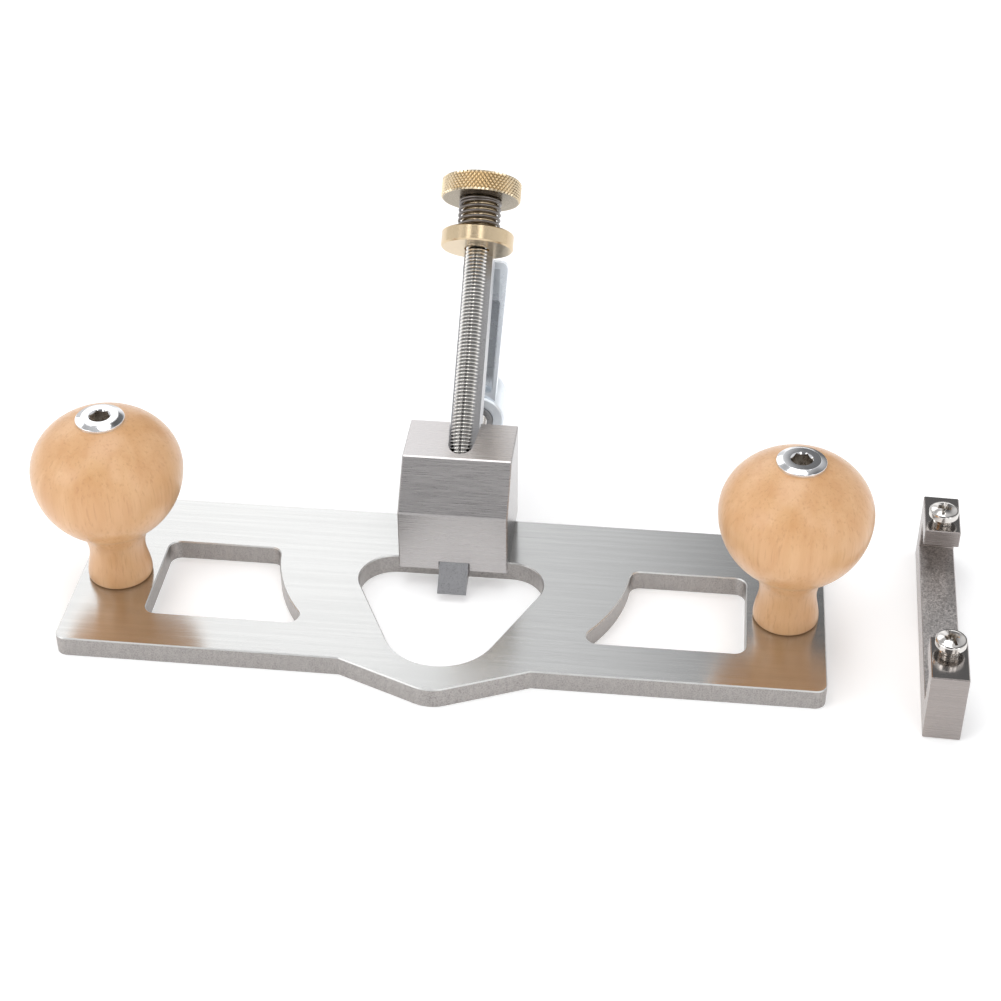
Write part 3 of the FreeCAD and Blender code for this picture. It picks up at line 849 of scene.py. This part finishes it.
def knob_bolt(node):
    low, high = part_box(node)
    middle = (low + high) / 2
    place = Matrix.Translation((middle.x, middle.y, high.z))
    head_r = span(node, 0) / 2
    soft = 0.22 * MM
    flat = BOLT_FLAT_R
    rim = -BOLT_HEAD + BOLT_RIM
    profile = [(0, 0), (flat - soft, 0)]
    profile += arc_points((flat - soft, -soft), soft, 80, 25, 4)
    profile += [(head_r - soft, rim + soft * 0.4)]
    profile += arc_points((head_r - soft, rim - soft * 0.5), soft, 50, 0, 4)
    shank_end = low.z - high.z
    profile += [(head_r, -BOLT_HEAD), (BOLT_SHANK_R, -BOLT_HEAD)]
    profile += [(BOLT_SHANK_R, shank_end), (0, shank_end)]
    socket = prism(hexagon(HEX_ACROSS), -HEX_DEPTH, 0.4 * MM)
    lead_in = 0.45 * MM
    cone = [
        (0, -lead_in),
        (HEX_ACROSS / 2, -lead_in),
        (HEX_ACROSS / 2 + 2 * lead_in, lead_in),
        (0, lead_in),
    ]
    lead = lathe(cone, 48)
    mesh = cut_away(lathe(profile, 128), [socket, lead])
    piece = finish_piece(f"{node}_head", mesh, place, "root", [node], sharp=28)
    paint(piece, CHROME)


for side in ("left", "right"):
    knob_bolt(f"{side}_knob_bolt")


# ---------------------------------------------------------------- fence screws

PAN_HEAD = 2.7 * MM
M5_R = 2.5 * MM
CROSS_REACH = 2.1 * MM
CROSS_WIDTH = 1.0 * MM
CROSS_DEPTH = 1.7 * MM


def cross_bit():
    """Tapered cross-shaped drive recess, its mouth above the head."""
    knives = []
    for turned in (False, True):
        half = CROSS_REACH
        wide = CROSS_WIDTH / 2
        outline = [(-half, -wide), (half, -wide), (half, wide), (-half, wide)]
        if turned:
            outline = [(-y, x) for x, y in outline]
        blade = prism([(x * 0.42, y * 0.8) for x, y in outline], -CROSS_DEPTH, 0.4 * MM, 2.5)
        knives.append(blade)
    point = [
        (0, -CROSS_DEPTH - 0.3 * MM),
        (0.9 * MM, -CROSS_DEPTH + 0.5 * MM),
        (1.25 * MM, 0.4 * MM),
        (0, 0.4 * MM),
    ]
    return knives + [lathe(point, 32)]


def fence_screw(node, turn):
    low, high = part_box(node)
    middle = (low + high) / 2
    place = Matrix.Translation((middle.x, middle.y, high.z)) @ Matrix.Rotation(turn, 4, "Z")
    head_r = span(node, 0) / 2
    crown = 1.9 * head_r
    soft = 0.5 * MM
    profile = [(0, 0)]
    for i in range(1, 13):
        r = (head_r - soft) * i / 12
        profile.append((r, -(crown - math.sqrt(crown**2 - r**2))))
    shoulder = profile[-1][1]
    profile += arc_points((head_r - soft * 1.2, shoulder - soft * 0.9), soft * 1.2, 48, 0, 6)
    profile += [(head_r - 0.06 * MM, -PAN_HEAD + 0.15 * MM), (head_r - 0.25 * MM, -PAN_HEAD), (0, -PAN_HEAD)]
    mesh = cut_away(lathe(profile, 112), cross_bit())
    head = finish_piece(f"{node}_head", mesh, place, body_of[node], [node], sharp=30)
    paint(head, PAN_CHROME)
    rod = thread_rod(M5_R, M5_PITCH, low.z - high.z, -PAN_HEAD + 0.02 * MM, 0.4 * MM, 32)
    shank = new_piece(f"{node}_thread", rod, place, body_of[node], [], sharp=50)
    paint(shank, PAN_CHROME)


fence_screw("fence_screw_front", math.radians(20))
fence_screw("fence_screw_rear", math.radians(-12))


# ---------------------------------------------------------------- camera, light and floor

def pale_floor(scene):
    floor = bpy.data.meshes.new("floor")
    reach = 4.0
    level = -0.00004
    corners = [(-reach, -reach, level), (reach, -reach, level), (reach, reach, level), (-reach, reach, level)]
    floor.from_pydata(corners, [], [(0, 1, 2, 3)])
    ground = bpy.data.objects.new("floor", floor)
    scene.collection.objects.link(ground)
    pale = Shader("pale floor", 0.0, 0.7, (0.90, 0.90, 0.90))
    pale.main.inputs["Emission Color"].default_value = (1, 1, 1, 1)
    pale.main.inputs["Emission Strength"].default_value = 0.28
    pale.main.inputs["Specular IOR Level"].default_value = 0.1
    ground.data.materials.append(pale.material)


def surroundings(scene):
    """A bright room with a graded backdrop and one dark card."""
    world = bpy.data.worlds.new("studio")
    scene.world = world
    world.use_nodes = True
    tree = world.node_tree
    back = tree.nodes["Background"]
    coords = tree.nodes.new("ShaderNodeTexCoord")
    split = tree.nodes.new("ShaderNodeSeparateXYZ")
    tree.links.new(coords.outputs["Generated"], split.inputs[0])
    ramp = tree.nodes.new("ShaderNodeValToRGB")
    stops = ramp.color_ramp.elements
    stops.remove(stops[1])
    stops[0].position = 0.05
    stops[0].color = (0.95, 0.95, 0.95, 1)
    for height, level in ((0.42, 0.82), (0.64, 0.74), (0.80, 0.56), (0.95, 0.70)):
        stops.new(height).color = (level, level * 1.01, level * 1.03, 1)
    tree.links.new(split.outputs[2], ramp.inputs[0])
    sideways = tree.nodes.new("ShaderNodeMapRange")
    sideways.inputs["From Min"].default_value = -1
    tree.links.new(split.outputs[0], sideways.inputs["Value"])
    backdrop = tree.nodes.new("ShaderNodeValToRGB")
    stops = backdrop.color_ramp.elements
    stops.remove(stops[1])
    for count, (across, level) in enumerate(BACKDROP):
        stop = stops[0] if count == 0 else stops.new((across + 1) / 2)
        stop.position = (across + 1) / 2
        stop.color = (level / 2, level / 2, level / 2, 1)
    tree.links.new(sideways.outputs["Result"], backdrop.inputs[0])
    gain = tree.nodes.new("ShaderNodeVectorMath")
    gain.operation = "SCALE"
    gain.inputs["Scale"].default_value = 2.0
    tree.links.new(backdrop.outputs[0], gain.inputs[0])
    behind = tree.nodes.new("ShaderNodeMapRange")
    behind.inputs["From Min"].default_value = 0.25
    behind.inputs["From Max"].default_value = 0.5
    tree.links.new(split.outputs[1], behind.inputs["Value"])
    sky = tree.nodes.new("ShaderNodeMix")
    sky.data_type = "RGBA"
    sky.blend_type = "MULTIPLY"
    tree.links.new(behind.outputs["Result"], sky.inputs[0])
    tree.links.new(ramp.outputs[0], sky.inputs[6])
    tree.links.new(gain.outputs["Vector"], sky.inputs[7])

    place, edge, full, dim = DARK_CARD
    nearness = tree.nodes.new("ShaderNodeVectorMath")
    nearness.operation = "DOT_PRODUCT"
    nearness.inputs[1].default_value = Vector(place).normalized()
    tree.links.new(coords.outputs["Generated"], nearness.inputs[0])
    shade = tree.nodes.new("ShaderNodeMapRange")
    shade.inputs["From Min"].default_value = math.cos(math.radians(edge))
    shade.inputs["From Max"].default_value = math.cos(math.radians(full))
    tree.links.new(nearness.outputs["Value"], shade.inputs["Value"])
    card = tree.nodes.new("ShaderNodeMix")
    card.data_type = "RGBA"
    card.inputs[7].default_value = (dim, dim, dim * 1.04, 1)
    tree.links.new(shade.outputs["Result"], card.inputs[0])
    tree.links.new(sky.outputs[2], card.inputs[6])
    tree.links.new(card.outputs[2], back.inputs["Color"])
    back.inputs["Strength"].default_value = 1.0


def studio():
    scene = bpy.context.scene
    scene.view_settings.view_transform = "Standard"
    pale_floor(scene)
    surroundings(scene)

    def softbox(name, where, target, width, height, radiance, tint=(1, 1, 1)):
        """A rectangular light that looks this bright from the front, whatever its size."""
        data = bpy.data.lights.new(name, "AREA")
        data.shape = "RECTANGLE"
        data.size = width
        data.size_y = height
        data.energy = radiance * width * height * math.pi
        data.color = tint
        lamp = bpy.data.objects.new(name, data)
        scene.collection.objects.link(lamp)
        lamp.location = where
        lamp.rotation_euler = (Vector(target) - Vector(where)).to_track_quat("-Z", "Y").to_euler()

    softbox("overhead", (-0.10, 0.03, 1.3), (0, 0, 0), 1.1, 0.6, 2.2)
    softbox("behind left", (-0.85, 1.10, 0.95), (0, 0, 0), 1.4, 0.8, 1.0)
    softbox("front left", (-1.1, -0.7, 0.6), (0, 0, 0), 0.7, 0.8, 1.5)
    softbox("upper right strip", (0.34, -0.66, 0.92), (0, 0, 0.05), 0.24, 0.8, 1.9)
    softbox("upper left strip", (-0.62, -0.66, 0.92), (0, 0, 0.05), 0.24, 0.8, 1.9)
    softbox("right strip", (0.75, -0.55, 0.45), (0, 0, 0.04), 0.16, 0.7, 1.6)

    data = bpy.data.cameras.new("camera")
    data.lens = CAMERA_LENS
    camera = bpy.data.objects.new("camera", data)
    scene.collection.objects.link(camera)
    camera.location = CAMERA_PLACE
    camera.rotation_euler = (math.radians(90 - CAMERA_DOWN), 0, math.radians(CAMERA_LEFT))
    scene.camera = camera


studio()
